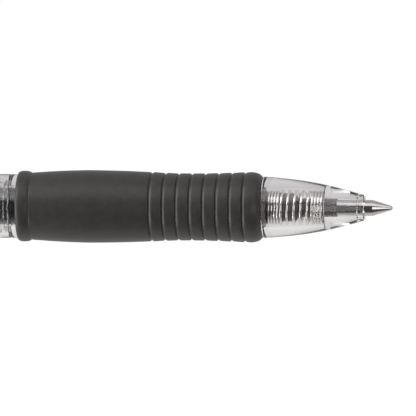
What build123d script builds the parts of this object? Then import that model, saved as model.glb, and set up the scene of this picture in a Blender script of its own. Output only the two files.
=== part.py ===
from build123d import *
import math
import os

os.makedirs("parts", exist_ok=True)

# Retractable gel pen lying along X with its point towards +X, point out, clip upwards.
# Lengths are in millimetres. Stations along the pen are measured from the nose's end face,
# negative towards the push button. Heights in a side outline are radii from the pen's axis.

# ---- overall ----
point_reach = 4.57          # writing point beyond the nose's end face
button_end = -139.4         # rear end of the push button
grip_peak_r = 5.95          # the pen rests on the grip's fattest ring
nose_x = -(point_reach + button_end) / 2
axis_z = grip_peak_r

# ---- shells ----
shell_r = 5.25
barrel_front = -58.15
barrel_rear = -110.0
barrel_bore_r = 4.3
housing_rear = -131.9
sleeve_r = 4.75             # clear sleeve under the rubber
flange_rear = -58.1         # clear ring between barrel and grip
grip_rear = -56.9
grip_front = -16.6
spigot_rear = -65.0
refill_bore_r = 3.35
refill_bore_front = -16.5   # the bore narrows steadily from here to the spring's seat
spring_bore_r = 3.1
spring_seat = -6.44
nose_bore_r = 1.62
mouth_r = 1.38
mouth_depth = 1.2
mouth_chamfer = 0.12
nose_end_r = 1.9
edge_break = 0.12           # small chamfer on the shells' outer edges

# ---- screw joint between barrel and front section ----
thread_pitch = 1.5
thread_root_r = 4.0         # outside of the male spigot
thread_bore_r = 4.55        # inside of the barrel's mouth
thread_height = 0.38
thread_front = -59.0
thread_turns = 3
thread_zone_rear = -65.6
pilot_rear = -59.1          # plain collar in front of the male thread
pilot_height = 0.2
tooth_foot = 0.36           # half the ridge's width where it meets the wall
tooth_crest = 0.2           # half its width at the top
tooth_root = 0.15           # how far it is sunk into the wall

# ---- grip ----
bead_crease = -54.75        # where the rear bead meets the palm
crease_r = 5.49
land_r = 5.5                # rubber between the grooves
groove_count = 8
groove_pitch = 2.19
first_groove = -34.95
groove_depth = 0.2
groove_steep = 0.16         # each groove has a steep rear wall and a sloping front wall
groove_slope = 0.32

# ---- refill ----
tube_r = 3.05
tube_bore_r = 2.35
tail = -104.4
ink_rear = -78.0
grease_length = 3.0
holder_shoulder_rear = -17.3
holder_shoulder_front = -16.03
holder_body_r = 2.3
holder_nose_r = 1.54
holder_front = -4.72
holder_bore_r = 0.6
tip_spigot_r = 0.9
tip_spigot_rear = -8.9
shank_r = 1.3
cone_start = 1.34
ball_r = 0.35
ball_x = point_reach - ball_r
ball_gap = 0.02
ink_channel_r = 0.3

# ---- return spring, wound left-handed ----
spring_wire_r = 0.22
spring_coil_r = 2.66
close_pitch = 0.49
rear_turns = 4.4
open_turns = 4.4
front_turns = 4.3
spring_start_angle = 234.0

# ---- click mechanism ----
retract_travel = 5.0
rib_front = -110.0
guide_front = -104.6
guide_rear = -122.4
guide_bore_r = 3.2
rib_bore_r = 2.55
cam_fins = 4
groove_angle = 38.0
fin_angle = 32.0
fin_r = 3.1
fin_length = 3.0
cam_core_r = 2.45
cam_gap = 0.1
tooth_height = 0.8
button_r = 2.95
button_flange_r = 3.5
stem_r = 1.8
pin_r = 1.2                 # the rotor's pin, which turns inside the plunger
pin_length = 3.5

# ---- clip ----
clip_pivot = -126.0
clip_pivot_r = 7.2
clip_width = 4.6
clip_tip_width = 3.6
clip_thickness = 0.9
clip_tip = -91.0
tongue_half = 2.5
tongue_width = 2.8
tongue_gap = 0.25
saddle_front = -123.4
saddle_top = 8.3
saddle_half = 2.6

pen_axis = Axis((nose_x, 0, axis_z), (1, 0, 0))
side_plane = Plane(origin=(nose_x, 0, axis_z), x_dir=(1, 0, 0), z_dir=(0, -1, 0))


def station(x):
    """The plane square to the pen at x, with its own x along Y and its own y upwards."""
    return Plane(origin=(nose_x + x, 0, axis_z), x_dir=(0, 1, 0), z_dir=(1, 0, 0))


def outline(*points):
    """The face inside straight runs through (x, radius) points of the side plane."""
    with BuildSketch(side_plane) as profile:
        with BuildLine():
            Polyline(*points, close=True)
        make_face()
    return profile.sketch


def band(x_start, x_end, inner_r, outer_r):
    """The side outline of a plain ring or, with inner_r 0, of a plain disc."""
    return outline((x_start, inner_r), (x_start, outer_r), (x_end, outer_r), (x_end, inner_r))


def thread_ridge(x_start, turns, base_r, rise):
    """A helical ridge on a wall of radius base_r; a negative rise points inwards."""
    with BuildLine() as lead:
        Helix(
            pitch=thread_pitch,
            height=turns * thread_pitch,
            radius=base_r,
            center=(nose_x + x_start, 0, axis_z),
            direction=(1, 0, 0),
        )
    foot = lead.line @ 0
    outwards = foot - Vector(foot.X, 0, axis_z)
    root = -tooth_root * math.copysign(1, rise)
    with BuildSketch(Plane(foot, x_dir=outwards, z_dir=lead.line % 0)) as tooth:
        with BuildLine():
            Polyline(
                (root, -tooth_foot),
                (rise, -tooth_crest),
                (rise, tooth_crest),
                (root, tooth_foot),
                close=True,
            )
        make_face()
    return sweep(tooth.sketch, path=lead.line, is_frenet=True, mode=Mode.PRIVATE)


def save(builder, name):
    """Label a finished piece and write it to its own file."""
    builder.part.label = name
    export_step(builder.part, f"parts/{name}.step")


# ---- clear barrel: a tube with the female thread just inside its front mouth ----
with BuildPart() as barrel:
    revolve(
        outline(
            (barrel_front, thread_bore_r),
            (barrel_front, shell_r - edge_break),
            (barrel_front - edge_break, shell_r),
            (barrel_rear, shell_r),
            (barrel_rear, barrel_bore_r),
            (thread_zone_rear, barrel_bore_r),
            (thread_zone_rear + 0.25, thread_bore_r),
        ),
        axis=pen_axis,
    )
    female_start = thread_front - (thread_turns + 0.5) * thread_pitch
    add(thread_ridge(female_start, thread_turns, thread_bore_r, -thread_height))
save(barrel, "barrel")

# ---- front barrel: clear nose cone, sleeve under the rubber, flange and male thread ----
with BuildPart() as front_barrel:
    with BuildSketch(side_plane):
        with BuildLine():
            Polyline((grip_front, sleeve_r), (grip_front, 4.96), (grip_front + 0.1, 5.03))
            Spline(
                (grip_front + 0.1, 5.03),
                (-13.9, 4.83),
                (-11.4, 4.57),
                (-9.0, 4.23),
                (-6.5, 3.77),
                (-4.1, 3.2),
                (-1.6, 2.52),
                (-0.35, 2.17),
            )
            RadiusArc((-0.35, 2.17), (0, nose_end_r), 0.36)
            Polyline(
                (0, nose_end_r),
                (0, mouth_r + mouth_chamfer),
                (-mouth_chamfer, mouth_r),
                (-mouth_depth, mouth_r),
                (-mouth_depth - 0.15, nose_bore_r),
                (spring_seat, nose_bore_r),
                (spring_seat, spring_bore_r),
                (refill_bore_front, refill_bore_r),
                (spigot_rear, refill_bore_r),
                (spigot_rear, thread_root_r - 0.2),
                (spigot_rear + 0.2, thread_root_r),
                (pilot_rear, thread_root_r),
                (pilot_rear + 0.1, thread_root_r + pilot_height),
                (flange_rear, thread_root_r + pilot_height),
                (flange_rear, shell_r - edge_break),
                (flange_rear + edge_break, shell_r),
                (grip_rear - 0.02, shell_r),
                (grip_rear, sleeve_r),
                (grip_front, sleeve_r),
            )
        make_face()
    revolve(axis=pen_axis)
    male_start = thread_front - (thread_turns + 1) * thread_pitch
    add(thread_ridge(male_start, thread_turns, thread_root_r, thread_height))
save(front_barrel, "front_barrel")

# ---- rubber grip: rear bead, swelling palm and eight grooves before a rounded front ----
with BuildPart() as rubber_grip:
    with BuildSketch(side_plane):
        with BuildLine():
            Line((grip_rear, sleeve_r), (grip_rear, 5.16))
            Spline(
                (grip_rear, 5.16),
                (-56.65, 5.63),
                (-56.0, 5.81),
                (-55.25, 5.72),
                (bead_crease, crease_r),
                tangents=((0, 1), (1, -0.8)),
            )
            Spline(
                (bead_crease, crease_r),
                (-54.2, 5.55),
                (-51.8, 5.71),
                (-49.5, 5.83),
                (-44.7, grip_peak_r),
                (-39.6, 5.86),
                (-35.6, 5.7),
                (-31.8, 5.52),
                (-27.3, 5.48),
                (-22.9, 5.58),
                (-18.6, 5.77),
                tangents=((1, 0.35), (1, 0.02)),
            )
            Spline(
                (-18.6, 5.77),
                (-17.45, 5.54),
                (-16.9, 5.12),
                (grip_front, 4.83),
                tangents=((1, -0.03), (0.6, -1)),
            )
            Polyline((grip_front, 4.83), (grip_front, sleeve_r), (grip_rear, sleeve_r))
        make_face()
    revolve(axis=pen_axis)
    for groove in range(groove_count):
        x = first_groove + groove * groove_pitch
        floor_r = land_r - groove_depth
        cutter_r = land_r + 1
        flare = (cutter_r - floor_r) / groove_depth
        with BuildSketch(side_plane):
            with BuildLine():
                Polyline(
                    (x - groove_steep * flare * 0.6, cutter_r),
                    (x, floor_r),
                    (x + groove_slope * flare, cutter_r),
                    close=True,
                )
            make_face()
        revolve(axis=pen_axis, mode=Mode.SUBTRACT)
save(rubber_grip, "rubber_grip")

# ---- saddle: humped block on the rear housing that holds the clip's tongue ----
with BuildPart() as saddle:
    with BuildSketch(side_plane):
        with BuildLine():
            back = Line((housing_rear + 0.5, 4.0), (housing_rear + 0.5, 5.0))
            hump = Spline(
                back @ 1,
                (housing_rear + 1.6, 7.3),
                (saddle_front - 2.0, saddle_top),
                tangents=((0.35, 1), (1, 0)),
            )
            Polyline(hump @ 1, (saddle_front, saddle_top), (saddle_front, 4.0), back @ 0)
        make_face()
    extrude(amount=saddle_half, both=True)
    side_edges = saddle.edges().filter_by(lambda edge: abs(edge.center().Y) > saddle_half - 0.01)
    fillet([edge for edge in side_edges if edge.center().Z > axis_z + 5.5 and edge.length > 3], 0.8)

# ---- rear housing: opaque shell with a saddle for the clip and a hole for the button ----
with BuildPart() as rear_housing:
    revolve(
        outline(
            (barrel_rear + 8, barrel_bore_r - 0.02),
            (barrel_rear, barrel_bore_r - 0.02),
            (barrel_rear, shell_r),
            (housing_rear + 1.6, shell_r),
            (housing_rear + 0.5, shell_r - 0.35),
            (housing_rear, shell_r - 0.9),
            (housing_rear, button_r + 0.08),
            (housing_rear + 2, button_r + 0.08),
            (housing_rear + 2, 3.7),
            (barrel_rear + 8, 3.7),
        ),
        axis=pen_axis,
    )
    add(saddle.part)
    tongue_height = clip_thickness + 2 * tongue_gap
    with BuildSketch(station(clip_pivot - tongue_half - 0.3)):
        with Locations((0, clip_pivot_r)):
            Rectangle(tongue_width + 2 * tongue_gap, tongue_height)
    extrude(amount=10, mode=Mode.SUBTRACT)
    revolve(band(housing_rear + 2, barrel_rear + 8, 0, 3.7), axis=pen_axis, mode=Mode.SUBTRACT)
save(rear_housing, "rear_housing")

# ---- cam guide: liner with four ribs; their front faces hold the rotor when the point is out ----
with BuildPart() as cam_guide:
    revolve(band(guide_rear, guide_front, guide_bore_r, 3.7), axis=pen_axis)
    rib_angle = 360 / cam_fins - groove_angle
    with BuildSketch(station(guide_rear)):
        for rib in range(cam_fins):
            with BuildLine():
                start = rib * 360 / cam_fins + 45 - rib_angle / 2
                outer = CenterArc((0, 0), guide_bore_r + 0.2, start, rib_angle)
                inner = CenterArc((0, 0), rib_bore_r, start, rib_angle)
                Line(outer @ 0, inner @ 0)
                Line(outer @ 1, inner @ 1)
            make_face()
    extrude(amount=rib_front - guide_rear)
save(cam_guide, "cam_guide")

# ---- clip: sprung arm along the top of the barrel, with a rounded foot near its end ----
with BuildPart() as clip:
    arm_rear = saddle_front + 0.25
    arm_low = 6.4
    with BuildSketch(side_plane):
        with BuildLine():
            low = Polyline(
                (arm_rear, saddle_top - 0.05),
                (arm_rear, arm_low + 0.1),
                (clip_tip - 6.2, arm_low),
            )
            foot = ThreePointArc(low @ 1, (clip_tip - 3.4, shell_r + 0.08), (clip_tip - 1.0, 6.35))
            rise = Line(foot @ 1, (clip_tip, 7.2))
            lip = ThreePointArc(rise @ 1, (clip_tip - 0.3, 7.75), (clip_tip - 1.2, 7.9))
            Spline(lip @ 1, (-107.0, 7.95), (arm_rear + 3.0, saddle_top - 0.07), low @ 0)
        make_face()
    extrude(amount=clip_width / 2, both=True)
    with BuildSketch(Plane.XY.offset(axis_z)):
        with BuildLine():
            x_root = nose_x + arm_rear
            x_nose = nose_x + clip_tip
            left = Line((x_root, clip_width / 2), (x_nose - 1.4, clip_tip_width / 2))
            bow = ThreePointArc(left @ 1, (x_nose, 0), (x_nose - 1.4, -clip_tip_width / 2))
            Polyline(bow @ 1, (x_root, -clip_width / 2), left @ 0)
        make_face()
    extrude(amount=12, mode=Mode.INTERSECT)
    fillet(clip.edges().filter_by(GeomType.BSPLINE), 0.5)
    with BuildSketch(station(clip_pivot - tongue_half)):
        with Locations((0, clip_pivot_r)):
            RectangleRounded(tongue_width, clip_thickness, 0.2)
    extrude(amount=arm_rear - clip_pivot + tongue_half + 0.5)
save(clip, "clip")

# ---- push button: domed cap with an inner flange that stops it at the housing's rear wall ----
button_flange_rear = housing_rear + 2 + retract_travel + 0.1
button_front = button_flange_rear + 0.9
with BuildPart() as push_button:
    with BuildSketch(side_plane):
        with BuildLine():
            Line((button_end, 0), (button_end, button_r - 0.9))
            RadiusArc((button_end, button_r - 0.9), (button_end + 0.8, button_r), 0.95)
            Polyline(
                (button_end + 0.8, button_r),
                (button_flange_rear, button_r),
                (button_flange_rear, button_flange_r),
                (button_front, button_flange_r),
                (button_front, stem_r),
                (button_end + 6, stem_r),
                (button_end + 5, 0),
                (button_end, 0),
            )
        make_face()
    revolve(axis=pen_axis)
save(push_button, "push_button")


def crown_teeth(face_x, facing):
    """Eight V notches round a tube's end face, cut by wedges laid across the axis."""
    tooth_angle = 360 / (2 * cam_fins)
    half_width = cam_core_r * math.tan(math.radians(tooth_angle / 2))
    wedges = []
    for tooth in range(2 * cam_fins):
        turn = tooth * tooth_angle
        outwards = (0, math.cos(math.radians(turn)), math.sin(math.radians(turn)))
        base = Plane(origin=(nose_x + face_x, 0, axis_z), x_dir=(facing, 0, 0), z_dir=outwards)
        with BuildSketch(base) as notch:
            with BuildLine():
                Polyline((0.1, -half_width), (-tooth_height, 0), (0.1, half_width * 0.35), close=True)
            make_face()
        wedges.append(extrude(notch.sketch, amount=cam_core_r + 1, mode=Mode.PRIVATE))
    return wedges


def fins(x_start, length):
    """Four fins on a cam part, sized to run in the guide's grooves."""
    with BuildSketch(station(x_start)) as rays:
        for fin in range(cam_fins):
            with BuildLine():
                start = fin * 360 / cam_fins - fin_angle / 2
                outer = CenterArc((0, 0), fin_r, start, fin_angle)
                inner = CenterArc((0, 0), cam_core_r - 0.3, start, fin_angle)
                Line(outer @ 0, inner @ 0)
                Line(outer @ 1, inner @ 1)
            make_face()
    return extrude(rays.sketch, amount=length, mode=Mode.PRIVATE)


# ---- cam plunger: keyed to the guide's grooves, pressed into the button ----
rotor_rear = rib_front - 1.5
plunger_front = rotor_rear - tooth_height - cam_gap
with BuildPart() as cam_plunger:
    revolve(band(button_front, plunger_front + tooth_height, 1.35, cam_core_r), axis=pen_axis)
    revolve(band(button_end + 7, button_front + 2, 0, stem_r), axis=pen_axis)
    add(crown_teeth(plunger_front + tooth_height, 1), mode=Mode.SUBTRACT)
    add(fins(plunger_front - 4.5, fin_length))
save(cam_plunger, "cam_plunger")

# ---- rotor: fins ride the guide's grooves, or rest on its ribs after an eighth of a turn ----
with BuildPart() as rotor:
    revolve(band(rotor_rear, tail - 0.05, 0, cam_core_r), axis=pen_axis)
    add(crown_teeth(rotor_rear, -1), mode=Mode.SUBTRACT)
    add(fins(rib_front + cam_gap, fin_length))
    revolve(band(rotor_rear - pin_length, rotor_rear + tooth_height, 0, pin_r), axis=pen_axis)
save(rotor, "rotor")

# ---- refill: tube, ink, grease follower and vented tail plug ----
with BuildPart() as refill_tube:
    revolve(band(tail + 1.6, holder_shoulder_rear, tube_bore_r, tube_r), axis=pen_axis)
save(refill_tube, "refill_tube")

holder_spigot_rear = holder_shoulder_rear - 4.7
with BuildPart() as ink_column:
    revolve(band(ink_rear, holder_spigot_rear, 0, tube_bore_r), axis=pen_axis)
save(ink_column, "ink_column")

with BuildPart() as follower_grease:
    revolve(band(ink_rear - grease_length, ink_rear, 0, tube_bore_r), axis=pen_axis)
save(follower_grease, "follower_grease")

with BuildPart() as refill_tail_plug:
    revolve(band(tail, tail + 1.6, 0.5, tube_r), axis=pen_axis)
    revolve(band(tail + 1.6, tail + 5.5, 0.5, tube_bore_r), axis=pen_axis)
save(refill_tail_plug, "refill_tail_plug")

# ---- tip holder: black stepped plug that carries the metal tip and the spring's rear end ----
with BuildPart() as tip_holder:
    revolve(
        outline(
            (holder_spigot_rear, holder_bore_r),
            (holder_spigot_rear, tube_bore_r - 0.2),
            (holder_spigot_rear + 0.3, tube_bore_r),
            (holder_shoulder_rear, tube_bore_r),
            (holder_shoulder_rear, 3.22),
            (holder_shoulder_front - 0.65, 3.22),
            (holder_shoulder_front, 2.72),
            (holder_shoulder_front, holder_body_r),
            (-11.44, holder_body_r),
            (-10.95, holder_nose_r),
            (holder_front - 0.1, holder_nose_r),
            (holder_front, holder_nose_r - 0.1),
            (holder_front, tip_spigot_r),
            (tip_spigot_rear - 0.1, tip_spigot_r),
            (tip_spigot_rear - 0.3, holder_bore_r),
        ),
        axis=pen_axis,
    )
save(tip_holder, "tip_holder")

# ---- metal tip: shank pressed into the holder, cone and socket for the ball ----
with BuildPart() as metal_tip:
    revolve(
        outline(
            (tip_spigot_rear, ink_channel_r),
            (tip_spigot_rear, tip_spigot_r),
            (holder_front, tip_spigot_r),
            (holder_front, shank_r - 0.05),
            (holder_front + 0.05, shank_r),
            (cone_start, shank_r),
            (3.95, 0.47),
            (ball_x + 0.17, 0.345),
            (ball_x + 0.17, 0.0),
            (ball_x - 0.35, 0.0),
            (ball_x - 0.35, ink_channel_r),
        ),
        axis=pen_axis,
    )
    with Locations((nose_x + ball_x, 0, axis_z)):
        Sphere(ball_r + ball_gap, mode=Mode.SUBTRACT)
save(metal_tip, "metal_tip")

with BuildPart() as writing_ball:
    with Locations((nose_x + ball_x, 0, axis_z)):
        Sphere(ball_r)
save(writing_ball, "writing_ball")


def coil(x_start, length, turns, coil_r, wire_r):
    """One helical stretch of round wire about the pen's axis."""
    with BuildLine() as lead:
        Helix(
            pitch=length / turns,
            height=length,
            radius=coil_r,
            center=(nose_x + x_start, 0, axis_z),
            direction=(1, 0, 0),
        )
    with BuildSketch(Plane(lead.line @ 0, z_dir=lead.line % 0)) as wire:
        Circle(wire_r)
    return sweep(wire.sketch, path=lead.line, is_frenet=True, mode=Mode.PRIVATE)


# ---- tip spring: fine coil in the ink channel that keeps the ball seated ----
with BuildPart() as tip_spring:
    add(coil(-0.5, 4.1, 10, 0.2, 0.05))
save(tip_spring, "tip_spring")

# ---- return spring: close coils at both ends, open coils between ----
spring_rear = holder_shoulder_front + spring_wire_r + 0.03
spring_front = spring_seat - spring_wire_r - 0.03
close_length = (rear_turns + front_turns) * close_pitch
open_pitch = (spring_front - spring_rear - close_length) / open_turns


def spring_station(turn):
    """Distance along the pen after this many turns; the pitch changes over half a turn."""
    opened = soft_ramp(turn - rear_turns) - soft_ramp(turn - rear_turns - open_turns)
    return turn * close_pitch + opened * (open_pitch - close_pitch)


def soft_ramp(turn):
    """0 before a bend and the distance past it after, rounded within a quarter turn of it."""
    return (turn + math.sqrt(turn * turn + 0.06)) / 2


def spring_point(turn):
    angle = math.radians(spring_start_angle - 360 * turn)
    x = nose_x + spring_rear + spring_station(turn) - spring_station(0)
    return (x, spring_coil_r * math.cos(angle), axis_z + spring_coil_r * math.sin(angle))


with BuildPart() as return_spring:
    turns = rear_turns + open_turns + front_turns
    steps = round(turns * 12)
    with BuildLine() as wire_path:
        Spline(*[spring_point(turns * step / steps) for step in range(steps + 1)])
    with BuildSketch(Plane(wire_path.line @ 0, z_dir=wire_path.line % 0)):
        Circle(spring_wire_r)
    sweep(path=wire_path.line, is_frenet=True)
save(return_spring, "return_spring")
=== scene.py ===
import math

import bmesh
import bpy
from mathutils import Matrix, Vector


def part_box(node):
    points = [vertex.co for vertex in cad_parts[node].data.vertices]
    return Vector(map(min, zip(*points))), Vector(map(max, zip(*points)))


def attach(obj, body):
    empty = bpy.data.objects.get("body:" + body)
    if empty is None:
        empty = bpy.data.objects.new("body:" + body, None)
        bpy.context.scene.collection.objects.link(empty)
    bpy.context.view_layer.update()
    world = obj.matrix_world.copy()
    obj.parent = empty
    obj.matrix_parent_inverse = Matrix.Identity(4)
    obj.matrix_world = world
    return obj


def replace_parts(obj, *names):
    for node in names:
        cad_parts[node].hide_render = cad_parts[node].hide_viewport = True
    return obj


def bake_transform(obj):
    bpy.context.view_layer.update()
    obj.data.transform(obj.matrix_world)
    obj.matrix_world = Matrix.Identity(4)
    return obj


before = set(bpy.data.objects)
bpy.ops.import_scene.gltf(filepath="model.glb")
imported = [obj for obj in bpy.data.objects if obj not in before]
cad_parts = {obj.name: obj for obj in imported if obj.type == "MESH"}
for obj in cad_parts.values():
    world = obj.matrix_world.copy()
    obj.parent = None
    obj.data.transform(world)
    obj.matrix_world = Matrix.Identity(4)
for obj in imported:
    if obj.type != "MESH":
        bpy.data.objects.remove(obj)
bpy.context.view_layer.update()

# Stations along the pen are millimetres from the nose's end face, negative towards the button,
# and radii are millimetres from the pen's axis. point() turns them into metres in the CAD's frame.
MM = 0.001
SEGMENTS = 160
NOSE_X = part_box("front_barrel")[1].x
TUBE_LOW, TUBE_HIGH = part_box("barrel")
AXIS_Z = (TUBE_LOW.z + TUBE_HIGH.z) / 2


def ends(node):
    """A node's rear and front stations."""
    low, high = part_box(node)
    return (low.x - NOSE_X) / MM, (high.x - NOSE_X) / MM


def outer_radius(node):
    """Half a round node's width across the pen."""
    low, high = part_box(node)
    return (high.y - low.y) / 2 / MM


def point(x, radius, angle):
    side, up = radius * math.cos(angle), radius * math.sin(angle)
    return Vector((NOSE_X + x * MM, side * MM, AXIS_Z + up * MM))


# ---- outline helpers ----

def smooth(points, steps=8):
    """A Catmull-Rom curve through (x, radius) points, with that many steps between each pair."""
    padded = [points[0], *points, points[-1]]
    curve = []
    for a, b, c, d in zip(padded, padded[1:], padded[2:], padded[3:]):
        for step in range(steps):
            t = step / steps
            curve.append(tuple(
                0.5 * (
                    2 * q
                    + (r - p) * t
                    + (2 * p - 5 * q + 4 * r - s) * t**2
                    + (3 * q - p - 3 * r + s) * t**3
                )
                for p, q, r, s in zip(a, b, c, d)
            ))
    return curve + [points[-1]]


def bend(centre, radius, start, end, steps=8):
    """An arc of (x, radius) points about a centre, its angles in degrees from +x."""
    turn = [math.radians(start + (end - start) * k / steps) for k in range(steps + 1)]
    return [(centre[0] + radius * math.cos(a), centre[1] + radius * math.sin(a)) for a in turn]


def finish_mesh(mesh, name, body, material, sharp=35):
    """Turn a bmesh into a piece: smooth but for its sharp edges, riding on its body if it has one."""
    bmesh.ops.recalc_face_normals(mesh, faces=mesh.faces)
    for face in mesh.faces:
        face.smooth = True
    for edge in mesh.edges:
        edge.smooth = edge.calc_face_angle(0) < math.radians(sharp)
    data = bpy.data.meshes.new(name)
    mesh.to_mesh(data)
    mesh.free()
    piece = bpy.data.objects.new(name, data)
    bpy.context.scene.collection.objects.link(piece)
    data.materials.append(material)
    if body:
        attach(piece, body)
    return piece


def lathe(name, outline, body, material, relief=None, closed=True):
    """Spin (x, radius) points about the pen's axis; relief(x, angle) adds to the radius."""
    mesh = bmesh.new()
    rings = []
    for x, radius in outline:
        if radius < 1e-6:
            rings.append([mesh.verts.new(point(x, 0, 0))])
            continue
        ring = []
        for k in range(SEGMENTS):
            angle = math.tau * k / SEGMENTS
            height = radius + (relief(x, radius, angle) if relief else 0)
            ring.append(mesh.verts.new(point(x, height, angle)))
        rings.append(ring)
    pairs = list(zip(rings, rings[1:]))
    if closed:
        pairs.append((rings[-1], rings[0]))
    for a, b in pairs:
        for k in range(SEGMENTS if max(len(a), len(b)) > 1 else 0):
            corners = [a[k % len(a)], a[(k + 1) % len(a)], b[(k + 1) % len(b)], b[k % len(b)]]
            mesh.faces.new(list(dict.fromkeys(corners)))
    return finish_mesh(mesh, name, body, material)


def wire(name, path, radius, body, material, sides=14):
    """A round wire along a list of points, with flat ends."""
    mesh = bmesh.new()
    rings = []
    last = len(path) - 1
    for i, here in enumerate(path):
        along = (path[min(i + 1, last)] - path[max(i - 1, 0)]).normalized()
        out = (here - Vector((here.x, 0, AXIS_Z))).normalized()
        across = along.cross(out).normalized()
        out = across.cross(along)
        ring = []
        for k in range(sides):
            turn = math.tau * k / sides
            spoke = out * math.cos(turn) + across * math.sin(turn)
            ring.append(mesh.verts.new(here + radius * MM * spoke))
        rings.append(ring)
    for a, b in zip(rings, rings[1:]):
        for k in range(sides):
            mesh.faces.new((a[k], a[(k + 1) % sides], b[(k + 1) % sides], b[k]))
    for ring in (rings[0], rings[-1]):
        mesh.faces.new(ring)
    return finish_mesh(mesh, name, body, material, sharp=60)


# ---- material helpers ----

def shader(name, **sockets):
    """A node material and its Principled shader, constants set on the shader's own sockets."""
    material = bpy.data.materials.new(name)
    material.use_nodes = True
    principled = material.node_tree.nodes["Principled BSDF"]
    for socket, value in sockets.items():
        principled.inputs[socket.replace("_", " ")].default_value = value
    return material, principled


def noise(material, scale, detail=3.0, stretch=(1, 1, 1)):
    """Noise over object space, scale in waves per metre, stretched along the axes."""
    nodes, links = material.node_tree.nodes, material.node_tree.links
    place = nodes.new("ShaderNodeTexCoord")
    mapping = nodes.new("ShaderNodeMapping")
    mapping.inputs["Scale"].default_value = stretch
    texture = nodes.new("ShaderNodeTexNoise")
    texture.inputs["Scale"].default_value = scale
    texture.inputs["Detail"].default_value = detail
    links.new(place.outputs["Object"], mapping.inputs["Vector"])
    links.new(mapping.outputs["Vector"], texture.inputs["Vector"])
    return texture.outputs["Fac"]


def tint(material, principled, source, low, high, start=0.35, end=0.65):
    """Mix two colours by a texture."""
    ramp = material.node_tree.nodes.new("ShaderNodeValToRGB")
    ramp.color_ramp.elements[0].position = start
    ramp.color_ramp.elements[0].color = (*low, 1)
    ramp.color_ramp.elements[1].position = end
    ramp.color_ramp.elements[1].color = (*high, 1)
    material.node_tree.links.new(source, ramp.inputs["Fac"])
    material.node_tree.links.new(ramp.outputs["Color"], principled.inputs["Base Color"])


def spread(material, principled, source, low, high, socket="Roughness"):
    """Vary a socket between two values by a texture."""
    reach = material.node_tree.nodes.new("ShaderNodeMapRange")
    reach.inputs["To Min"].default_value = low
    reach.inputs["To Max"].default_value = high
    material.node_tree.links.new(source, reach.inputs["Value"])
    material.node_tree.links.new(reach.outputs["Result"], principled.inputs[socket])


def bump(material, principled, source, distance, strength=1.0):
    """Relief of that height in metres."""
    relief = material.node_tree.nodes.new("ShaderNodeBump")
    relief.inputs["Distance"].default_value = distance
    relief.inputs["Strength"].default_value = strength
    material.node_tree.links.new(source, relief.inputs["Height"])
    material.node_tree.links.new(relief.outputs["Normal"], principled.inputs["Normal"])


def clear_plastic(name, tone, roughness, wave, depth):
    """Moulded clear plastic: faint flow lines along the pen and a slightly uneven polish."""
    material, principled = shader(name, Transmission_Weight=1.0, IOR=1.5)
    flow = noise(material, wave, detail=2.0, stretch=(0.25, 1, 1))
    tint(material, principled, flow, tone, tuple(min(1.0, c + 0.02) for c in tone))
    spread(material, principled, flow, roughness * 0.6, roughness * 1.4)
    bump(material, principled, flow, depth)
    let_light_through(material, principled, tone)
    return material


def let_light_through(material, principled, tone):
    """Lamps shine through the plastic onto what is inside it."""
    nodes, links = material.node_tree.nodes, material.node_tree.links
    clear, path = nodes.new("ShaderNodeBsdfTransparent"), nodes.new("ShaderNodeLightPath")
    clear.inputs["Color"].default_value = (*tone, 1)
    mix = nodes.new("ShaderNodeMixShader")
    links.new(path.outputs["Is Shadow Ray"], mix.inputs["Fac"])
    links.new(principled.outputs["BSDF"], mix.inputs[1])
    links.new(clear.outputs["BSDF"], mix.inputs[2])
    links.new(mix.outputs["Shader"], nodes["Material Output"].inputs["Surface"])


def solid_plastic(name, dark, light, roughness, grain, depth):
    """Opaque moulded plastic with a fine spark-eroded grain."""
    material, principled = shader(name, IOR=1.5)
    texture = noise(material, grain, detail=4.0)
    tint(material, principled, texture, dark, light)
    spread(material, principled, texture, roughness * 0.85, roughness * 1.15)
    bump(material, principled, texture, depth)
    return material


def rubber():
    """Matte black rubber: mottled charcoal with a fine grain."""
    material, principled = shader("grip_rubber", IOR=1.5, Specular_IOR_Level=0.42)
    mottle = noise(material, 900, detail=5.0)
    grain = noise(material, 9000, detail=3.0)
    tint(material, principled, mottle, (0.031, 0.029, 0.0262), (0.037, 0.035, 0.031))
    spread(material, principled, mottle, 0.38, 0.46)
    bump(material, principled, grain, 0.000006)
    return material


def metal(name, dark, light, roughness, grain, depth, stretch):
    """Drawn or turned metal: fine marks that run one way."""
    material, principled = shader(name, Metallic=1.0)
    marks = noise(material, grain, detail=3.0, stretch=stretch)
    tint(material, principled, marks, dark, light)
    spread(material, principled, marks, roughness * 0.7, roughness * 1.3)
    bump(material, principled, marks, depth)
    return material


CLEAR = clear_plastic("clear_shell", (0.96, 0.95, 0.955), 0.004, 700, 0.0000006)
CLEAR_NOSE = clear_plastic("clear_nose", (0.96, 0.95, 0.955), 0.004, 700, 0.0000006)
REFILL = clear_plastic("refill_plastic", (0.9, 0.89, 0.89), 0.12, 900, 0.000003)
RUBBER = rubber()
TRIM = solid_plastic(
    "black_trim", (0.018, 0.018, 0.019), (0.028, 0.027, 0.028), 0.28, 5000, 0.000002,
)
CLIP = solid_plastic(
    "black_clip", (0.018, 0.018, 0.019), (0.026, 0.026, 0.027), 0.22, 4000, 0.0000015,
)
BUTTON = solid_plastic(
    "black_button", (0.022, 0.022, 0.023), (0.032, 0.031, 0.032), 0.35, 7000, 0.000003,
)
HOLDER = solid_plastic(
    "black_holder", (0.105, 0.092, 0.094), (0.12, 0.105, 0.107), 0.28, 4000, 0.000002,
)
WHITE_CAM = solid_plastic("white_cam", (0.72, 0.72, 0.69), (0.8, 0.8, 0.77), 0.4, 4000, 0.000002)
WHITE_PLUNGER = solid_plastic(
    "white_plunger", (0.68, 0.68, 0.66), (0.76, 0.76, 0.74), 0.4, 4000, 0.000002,
)
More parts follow.
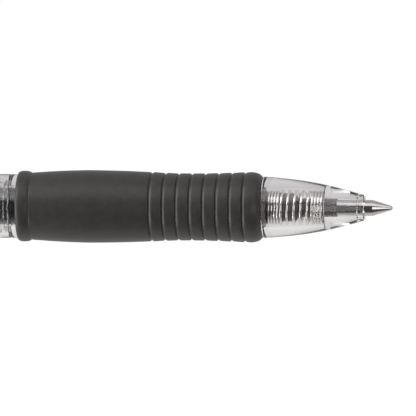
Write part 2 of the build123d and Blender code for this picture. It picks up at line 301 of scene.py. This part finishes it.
WHITE_ROTOR = solid_plastic(
    "white_rotor", (0.7, 0.7, 0.68), (0.78, 0.78, 0.75), 0.38, 4000, 0.000002,
)
TAIL = solid_plastic("tail_plastic", (0.7, 0.7, 0.7), (0.8, 0.8, 0.8), 0.45, 4000, 0.000002)
INK = solid_plastic("ink", (0.004, 0.004, 0.005), (0.008, 0.008, 0.009), 0.08, 600, 0.000001)
GREASE = solid_plastic("grease", (0.62, 0.58, 0.44), (0.72, 0.68, 0.55), 0.2, 900, 0.000002)
SPRING = metal(
    "spring_steel", (0.72, 0.70, 0.68), (0.86, 0.84, 0.82), 0.2, 9000, 0.0000015, (1, 1, 1),
)
TIP = metal(
    "nickel_silver", (0.50, 0.48, 0.475), (0.60, 0.575, 0.565), 0.16, 9000, 0.000001, (1, 0.02, 0.02),
)
BALL = metal(
    "ball_carbide", (0.42, 0.42, 0.42), (0.52, 0.52, 0.52), 0.1, 20000, 0.0000005, (1, 1, 1),
)
FINE = metal("fine_steel", (0.6, 0.6, 0.6), (0.7, 0.7, 0.7), 0.2, 20000, 0.0000005, (1, 1, 1))


# ---- the screw joint's helical ridges ----
PITCH = 1.5
RIDGE = 0.38                # height of the male ridge and of the female one
FOOT = 0.36                 # half the ridge's width where it meets the wall
CREST = 0.2                 # half its width at the top
FADE = 0.3                  # the ridge dies away over this length at both ends


def ridge(first, last, offset, rise):
    """Relief of a right-handed thread ridge between two stations."""
    def relief(x, radius, angle):
        if not first < x < last:
            return 0
        lead = ((x - offset) / PITCH - angle / math.tau) % 1.0
        away = min(lead, 1 - lead) * PITCH
        fade = min(1, (x - first) / FADE, (last - x) / FADE)
        slope = (FOOT - away) / (FOOT - CREST)
        return rise * fade * max(0, min(1, slope))
    return relief


def ladder(start, end, radius, step=0.05):
    """Many rings of one radius, close enough to carry a thread's relief."""
    count = max(2, round(abs(end - start) / step))
    return [(start + (end - start) * k / count, radius) for k in range(count + 1)]


# ---- clear barrel ----
SHELL = outer_radius("barrel")
BARREL_REAR, BARREL_FRONT = ends("barrel")
BARREL_BORE = 4.3
THREAD_BORE = 4.55
THREAD_FRONT = -60.1
THREAD_REAR = -64.6
LIP = 0.22                  # rounding of the barrel's mouth


def make_barrel():
    wall_end = BARREL_FRONT - LIP
    outline = [
        (BARREL_FRONT, THREAD_BORE),
        (BARREL_FRONT, SHELL - LIP),
        *bend((wall_end, SHELL - LIP), LIP, 0, 90, 6),
        *[(wall_end - (BARREL_FRONT - BARREL_REAR - 0.4) * k / 6, SHELL) for k in range(1, 7)],
        (BARREL_REAR, SHELL),
        (BARREL_REAR, BARREL_BORE),
        (-65.6, BARREL_BORE),
        *ladder(-65.3, BARREL_FRONT - 0.2, THREAD_BORE),
    ]
    relief = ridge(THREAD_REAR, THREAD_FRONT, THREAD_REAR - PITCH / 2, -RIDGE)
    inner = lambda x, radius, angle: relief(x, radius, angle) if radius <= THREAD_BORE else 0
    piece = lathe("clear_barrel", outline, "rear_section", CLEAR, relief=inner)
    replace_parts(piece, "barrel")


# ---- clear nose, its sleeve and its male thread ----
GRIP_REAR, GRIP_FRONT = ends("rubber_grip")
FLANGE_REAR = -58.1
SLEEVE = 4.75
SPIGOT = 4.0                # radius under the male thread
REFILL_BORE = 3.35
NOSE_BORE = 1.62
MOUTH = 1.38                # opening for the metal tip
EDGE = 0.12                 # rounding of the clear ring's rear edge


def make_nose():
    cone = smooth([
        (GRIP_FRONT + 0.12, 5.03),
        (-13.9, 4.83),
        (-11.4, 4.57),
        (-9.0, 4.23),
        (-6.5, 3.77),
        (-4.1, 3.2),
        (-1.6, 2.52),
        (-0.4, 2.17),
    ])
    outline = [
        (GRIP_FRONT, SLEEVE),
        (GRIP_FRONT, 4.94),
        (GRIP_FRONT + 0.05, 5.0),
        *cone,
        *bend((-0.30, 1.90), 0.30, 72, 0, 8),
        (0, 1.52),
        (-0.12, MOUTH),
        (-1.2, MOUTH),
        (-1.35, NOSE_BORE),
        *ladder(-1.8, -6.0, NOSE_BORE, 0.6),
        (-6.44, NOSE_BORE),
        (-6.44, 3.0),
        (-6.54, 3.1),
        (-10.0, 3.19),
        (-14.0, 3.3),
        (-16.5, REFILL_BORE),
        *ladder(-20.0, -64.5, REFILL_BORE, 4.0),
        (-65.0, REFILL_BORE),
        (-65.0, SPIGOT - 0.2),
        (-64.8, SPIGOT),
        *ladder(-64.7, -59.2, SPIGOT),
        (-59.14, SPIGOT),
        (-59.1, 4.25),
        (-58.98, 4.3),
        (-58.85, 4.2),
        (FLANGE_REAR, 4.2),
        (FLANGE_REAR, SHELL - EDGE),
        *bend((FLANGE_REAR + EDGE, SHELL - EDGE), EDGE, 180, 90, 5),
        (GRIP_REAR - 0.03, SHELL),
        (GRIP_REAR, SHELL - 0.03),
        (GRIP_REAR, SLEEVE),
    ]
    relief = ridge(THREAD_REAR, THREAD_FRONT, THREAD_REAR, RIDGE)
    outer = lambda x, radius, angle: relief(x, radius, angle) if radius == SPIGOT else 0
    piece = lathe("clear_nose_cone", outline, "front_section", CLEAR_NOSE, relief=outer)
    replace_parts(piece, "front_barrel")


# ---- rubber grip ----
GROOVES = 8
GROOVE_PITCH = 2.19
FIRST_GROOVE = -34.95
BODY_CURVE = smooth([
    (-54.75, 5.46), (-54.6, 5.51), (-54.2, 5.55), (-53.2, 5.61), (-51.8, 5.71),
    (-49.5, 5.83), (-47.2, 5.91), (-44.7, 5.95), (-39.6, 5.86), (-35.6, 5.70),
    (-31.8, 5.52), (-27.3, 5.48), (-22.9, 5.58), (-18.5, 5.76),
], 6)


def grip_radius(x):
    """The grip's smooth outline without its grooves."""
    for (x0, r0), (x1, r1) in zip(BODY_CURVE, BODY_CURVE[1:]):
        if x0 <= x <= x1:
            return r0 + (r1 - r0) * (x - x0) / (x1 - x0)
    return BODY_CURVE[-1][1]


def make_grip():
    bead = smooth([
        (GRIP_REAR, 5.3), (-56.93, 5.48), (-56.75, 5.67), (-56.35, 5.79), (-55.8, 5.8),
        (-55.4, 5.76), (-55.05, 5.66), (-54.85, 5.53), (-54.75, 5.46),
    ], 6)
    outline = [(GRIP_REAR, SLEEVE + 0.01), *bead]
    outline += [(x, r) for x, r in BODY_CURVE[1:] if x < FIRST_GROOVE - 0.5]
    for groove in range(GROOVES):
        x = FIRST_GROOVE + groove * GROOVE_PITCH
        rim = grip_radius(x)
        outline += [
            (x - 0.35, rim + 0.01),
            (x - 0.22, rim - 0.01),
            (x - 0.16, rim - 0.06),
            (x - 0.1, rim - 0.2),
            (x - 0.04, rim - 0.24),
            (x + 0.02, rim - 0.22),
            (x + 0.3, rim - 0.04),
            (x + 0.42, rim - 0.002),
            (x + 0.6, rim + 0.012),
        ]
        if groove < GROOVES - 1:
            outline.append((x + GROOVE_PITCH / 2, grip_radius(x + GROOVE_PITCH / 2) + 0.015))
    outline += [
        *smooth([
            (-18.6, 5.77), (-18.0, 5.7), (-17.45, 5.54), (-17.1, 5.33), (-16.9, 5.12),
            (GRIP_FRONT - 0.12, 4.94), (GRIP_FRONT, 4.83),
        ], 4),
        (GRIP_FRONT, SLEEVE + 0.01),
    ]
    piece = lathe("ribbed_grip", outline, "front_section", RUBBER)
    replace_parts(piece, "rubber_grip")


# ---- refill ----
TUBE_R = outer_radius("refill_tube")
TUBE_BORE = 2.35
WETTED = TUBE_BORE + 0.01


def make_refill():
    rear, front = ends("refill_tube")
    tube = [
        (rear, TUBE_BORE), (rear, TUBE_R - 0.05), (rear + 0.05, TUBE_R),
        *ladder(rear + 2, front - 2, TUBE_R, 8.0),
        (front - 0.05, TUBE_R), (front, TUBE_R - 0.05), (front, TUBE_BORE),
        *ladder(front - 2, rear + 2, TUBE_BORE, 8.0),
    ]
    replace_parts(lathe("clear_refill_tube", tube, "refill", REFILL), "refill_tube")
    rear, front = ends("ink_column")
    ink = [
        (rear + 0.35, 0), (rear + 0.2, 1.2), (rear, 2.1), (rear, WETTED),
        *ladder(rear + 2, front - 2, WETTED, 8.0),
        (front, WETTED), (front, 0),
    ]
    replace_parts(lathe("ink_fill", ink, "refill", INK, closed=False), "ink_column")
    rear, front = ends("follower_grease")
    grease = [
        (rear + 0.5, 0), (rear + 0.3, 1.2), (rear, 2.2), (rear, WETTED - 0.004),
        (front, WETTED - 0.004), (front, 2.1), (front + 0.2, 1.2), (front + 0.35, 0),
    ]
    plug = lathe("grease_plug", grease, "refill", GREASE, closed=False)
    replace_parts(plug, "follower_grease")


# ---- tip holder: stepped black plug ----
def make_holder():
    rear, front = ends("tip_holder")
    outline = [
        (rear, 0.6), (rear, WETTED - 0.2), (rear + 0.3, WETTED), (-17.3, WETTED),
        (-17.3, 3.17), (-17.25, 3.22), (-16.72, 3.22), (-16.66, 3.19),
        (-16.08, 2.74), (-16.03, 2.66), (-16.03, 2.34), (-15.99, 2.3),
        *ladder(-15.5, -11.9, 2.3, 0.6),
        (-11.48, 2.3), (-11.4, 2.26), (-10.99, 1.6), (-10.92, 1.54),
        *ladder(-10.4, -5.2, 1.54, 0.6),
        (-4.86, 1.54), (-4.76, 1.5), (front, 1.42), (front, 0.9), (-9.0, 0.9), (-9.2, 0.6),
    ]
    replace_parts(lathe("stepped_tip_holder", outline, "refill", HOLDER), "tip_holder")


# ---- metal tip and ball ----
BALL_X = ends("writing_ball")[1] - 0.35


def make_tip():
    outline = [
        (-8.9, 0.3), (-8.9, 0.85), (-8.85, 0.9), (-4.72, 0.9), (-4.72, 1.24), (-4.66, 1.3),
        *ladder(-4.2, 0.9, 1.3, 0.5),
        (1.28, 1.3), (1.36, 1.285),
        *[(1.36 + 2.54 * k / 6, 1.285 - 0.785 * k / 6) for k in range(1, 7)],
        (4.12, 0.43), (4.3, 0.375), (BALL_X + 0.17, 0.35), (BALL_X + 0.175, 0.325),
        *bend((BALL_X, 0), 0.37, 60, 160, 10),
        (BALL_X - 0.36, 0.1), (BALL_X - 0.4, 0.3),
    ]
    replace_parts(lathe("turned_metal_tip", outline, "refill", TIP), "metal_tip")
    ball = [(x, max(0, r)) for x, r in bend((BALL_X, 0), 0.35, 180, 0, 20)]
    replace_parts(lathe("carbide_ball", ball, "ball", BALL, closed=False), "writing_ball")


# ---- return spring: left-handed, close coils at both ends and open coils between ----
SPRING_REAR, SPRING_FRONT = ends("return_spring")
WIRE_R = 0.22
COIL_R = outer_radius("return_spring") - WIRE_R
CLOSE_PITCH = 0.49
REAR_TURNS, OPEN_TURNS, FRONT_TURNS = 4.4, 4.4, 4.3
SPRING_START_ANGLE = 234.0


def soft_ramp(turn):
    """0 before a bend and the distance past it after, rounded near it."""
    return (turn + math.sqrt(turn * turn + 0.06)) / 2


def make_spring():
    rear, front = SPRING_REAR + WIRE_R, SPRING_FRONT - WIRE_R
    turns = REAR_TURNS + OPEN_TURNS + FRONT_TURNS
    open_pitch = (front - rear - (REAR_TURNS + FRONT_TURNS) * CLOSE_PITCH) / OPEN_TURNS

    def along(turn):
        opened = soft_ramp(turn - REAR_TURNS) - soft_ramp(turn - REAR_TURNS - OPEN_TURNS)
        return turn * CLOSE_PITCH + opened * (open_pitch - CLOSE_PITCH)

    stretch = (front - rear) / (along(turns) - along(0))
    steps = round(turns * 48)
    path = []
    for step in range(steps + 1):
        turn = turns * step / steps
        angle = math.radians(SPRING_START_ANGLE - 360 * turn)
        path.append(point(rear + (along(turn) - along(0)) * stretch, COIL_R, angle))
    piece = wire("coiled_return_spring", path, WIRE_R, None, SPRING)
    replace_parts(piece, "return_spring")
    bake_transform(piece)


# ---- push button ----
def make_button():
    rear, front = ends("push_button")
    outline = [
        (rear + 0.12, 0), (rear + 0.1, 1.0), (rear, 1.6), (rear, 2.0),
        *bend((rear + 0.85, 2.1), 0.85, 180, 90, 10),
        *ladder(rear + 1.2, front - 1.2, 2.95, 1.0),
        (front - 0.92, 2.95), (front - 0.9, 2.97), (front - 0.9, 3.45), (front - 0.85, 3.5),
        (front - 0.05, 3.5), (front, 3.45), (front, 1.81), (rear + 6, 1.81), (rear + 5, 0),
    ]
    piece = lathe("domed_button", outline, "button", BUTTON, closed=False)
    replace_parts(piece, "push_button")


# ---- carried-over CAD nodes ----
def dress(node, material):
    """Give a CAD node its procedural material."""
    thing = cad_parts[node]
    thing.data.materials.clear()
    thing.data.materials.append(material)


make_barrel()
make_nose()
make_grip()
make_refill()
make_holder()
make_tip()
make_spring()
make_button()
for node, material in (
    ("rear_housing", TRIM), ("clip", CLIP), ("cam_guide", WHITE_CAM), ("cam_plunger", WHITE_PLUNGER),
    ("rotor", WHITE_ROTOR), ("refill_tail_plug", TAIL), ("tip_spring", FINE),
):
    dress(node, material)


# ---- floor: a bright sweep, white where it is seen directly, with painted shade in what it throws on the pen ----
def floor_material():
    """White where it is seen directly; what it throws on the pen is dimmer, with painted shade darkest
    on the +Y side.
    """
    material = bpy.data.materials.new("floor_white_painted_shade")
    material.use_nodes = True
    nodes, links = material.node_tree.nodes, material.node_tree.links
    nodes.remove(nodes["Principled BSDF"])
    seen, thrown_painted_shade = nodes.new("ShaderNodeEmission"), nodes.new("ShaderNodeEmission")
    seen.inputs["Color"].default_value = (1, 1, 1, 1)
    seen.inputs["Strength"].default_value = 1.02
    place, split = nodes.new("ShaderNodeTexCoord"), nodes.new("ShaderNodeSeparateXYZ")
    reach, ramp = nodes.new("ShaderNodeMapRange"), nodes.new("ShaderNodeValToRGB")
    # Painted shade: what the floor throws on the pen goes from 0.82 on its -Y side to 0.54 on its +Y
    # side, standing in for shade under the pen's +Y half.
    reach.inputs["From Min"].default_value = -0.02
    reach.inputs["From Max"].default_value = 0.02
    ramp.color_ramp.elements[0].color = (0.82, 0.82, 0.80, 1)
    ramp.color_ramp.elements[1].color = (0.54, 0.53, 0.54, 1)
    links.new(place.outputs["Object"], split.inputs["Vector"])
    links.new(split.outputs["Y"], reach.inputs["Value"])
    links.new(reach.outputs["Result"], ramp.inputs["Fac"])
    links.new(ramp.outputs["Color"], thrown_painted_shade.inputs["Color"])
    path, mix = nodes.new("ShaderNodeLightPath"), nodes.new("ShaderNodeMixShader")
    links.new(path.outputs["Is Camera Ray"], mix.inputs["Fac"])
    links.new(thrown_painted_shade.outputs["Emission"], mix.inputs[1])
    links.new(seen.outputs["Emission"], mix.inputs[2])
    links.new(mix.outputs["Shader"], nodes["Material Output"].inputs["Surface"])
    return material


def make_floor():
    half = 6
    mesh = bmesh.new()
    corners = [(-half, -half), (half, -half), (half, half), (-half, half)]
    mesh.faces.new([mesh.verts.new((x, y, -0.0002)) for x, y in corners])
    data = bpy.data.meshes.new("floor")
    mesh.to_mesh(data)
    mesh.free()
    floor = bpy.data.objects.new("floor", data)
    bpy.context.scene.collection.objects.link(floor)
    data.materials.append(floor_material())


# ---- lights: softboxes over the +Y side and beyond both ends, in a tent that is dim overhead ----
def softbox(name, place, target, size, power):
    light = bpy.data.lights.new(name, "AREA")
    light.shape = "RECTANGLE"
    light.size, light.size_y = size
    light.energy = power
    lamp = bpy.data.objects.new(name, light)
    bpy.context.scene.collection.objects.link(lamp)
    lamp.location = place
    lamp.rotation_euler = (Vector(place) - Vector(target)).to_track_quat("Z", "Y").to_euler()
    return lamp


def make_lights():
    centre = (0.04, 0, 0.006)
    softbox("key_softbox", (0.04, 0.52, 0.44), centre, (1.3, 0.5), 2.55)
    softbox("right_softbox", (0.42, -0.06, 0.53), centre, (0.34, 0.45), 0.86)
    softbox("left_softbox", (-0.52, 0.0, 0.26), centre, (1.5, 0.3), 7.0)
    world = bpy.data.worlds.new("light_tent")
    world.use_nodes = True
    nodes, links = world.node_tree.nodes, world.node_tree.links
    place = nodes.new("ShaderNodeTexCoord")
    split = nodes.new("ShaderNodeSeparateXYZ")
    ramp = nodes.new("ShaderNodeValToRGB")
    ramp.color_ramp.elements[0].position = 0
    ramp.color_ramp.elements[0].color = (0.96, 0.95, 0.96, 1)
    low = ramp.color_ramp.elements.new(0.07)
    low.color = (0.72, 0.71, 0.72, 1)
    ramp.color_ramp.elements[2].position = 0.42
    ramp.color_ramp.elements[2].color = (0.08, 0.08, 0.08, 1)
    links.new(place.outputs["Generated"], split.inputs["Vector"])
    links.new(split.outputs["Z"], ramp.inputs["Fac"])
    links.new(ramp.outputs["Color"], nodes["Background"].inputs["Color"])
    bpy.context.scene.world = world


# ---- camera: from above, leaning towards the point ----
SCALE = 6.115               # image pixels per millimetre at the pen's axis
IMAGE = 416
DISTANCE = 1.2
LEAN = math.radians(6.5)
ROLL = math.radians(0.31)
LOOK_X = -25.75             # station at the image's centre
LOOK_Y = -0.16


def make_camera():
    data = bpy.data.cameras.new("camera")
    camera = bpy.data.objects.new("camera", data)
    bpy.context.scene.collection.objects.link(camera)
    data.sensor_width = 36
    data.lens = 36 * DISTANCE / (IMAGE / SCALE * MM)
    data.clip_start, data.clip_end = 0.01, 10
    look = Vector((NOSE_X + LOOK_X * MM, LOOK_Y * MM, AXIS_Z))
    back = Vector((math.sin(LEAN), 0, math.cos(LEAN)))
    right = Vector((math.cos(LEAN), 0, -math.sin(LEAN)))
    up = Vector((0, 1, 0))
    turned_right = right * math.cos(ROLL) + up * math.sin(ROLL)
    turned_up = up * math.cos(ROLL) - right * math.sin(ROLL)
    turn = Matrix((turned_right, turned_up, back)).transposed().to_4x4()
    camera.matrix_world = Matrix.Translation(look + back * DISTANCE) @ turn
    bpy.context.scene.camera = camera


make_floor()
make_lights()
make_camera()
bpy.context.scene.view_settings.view_transform = "Standard"
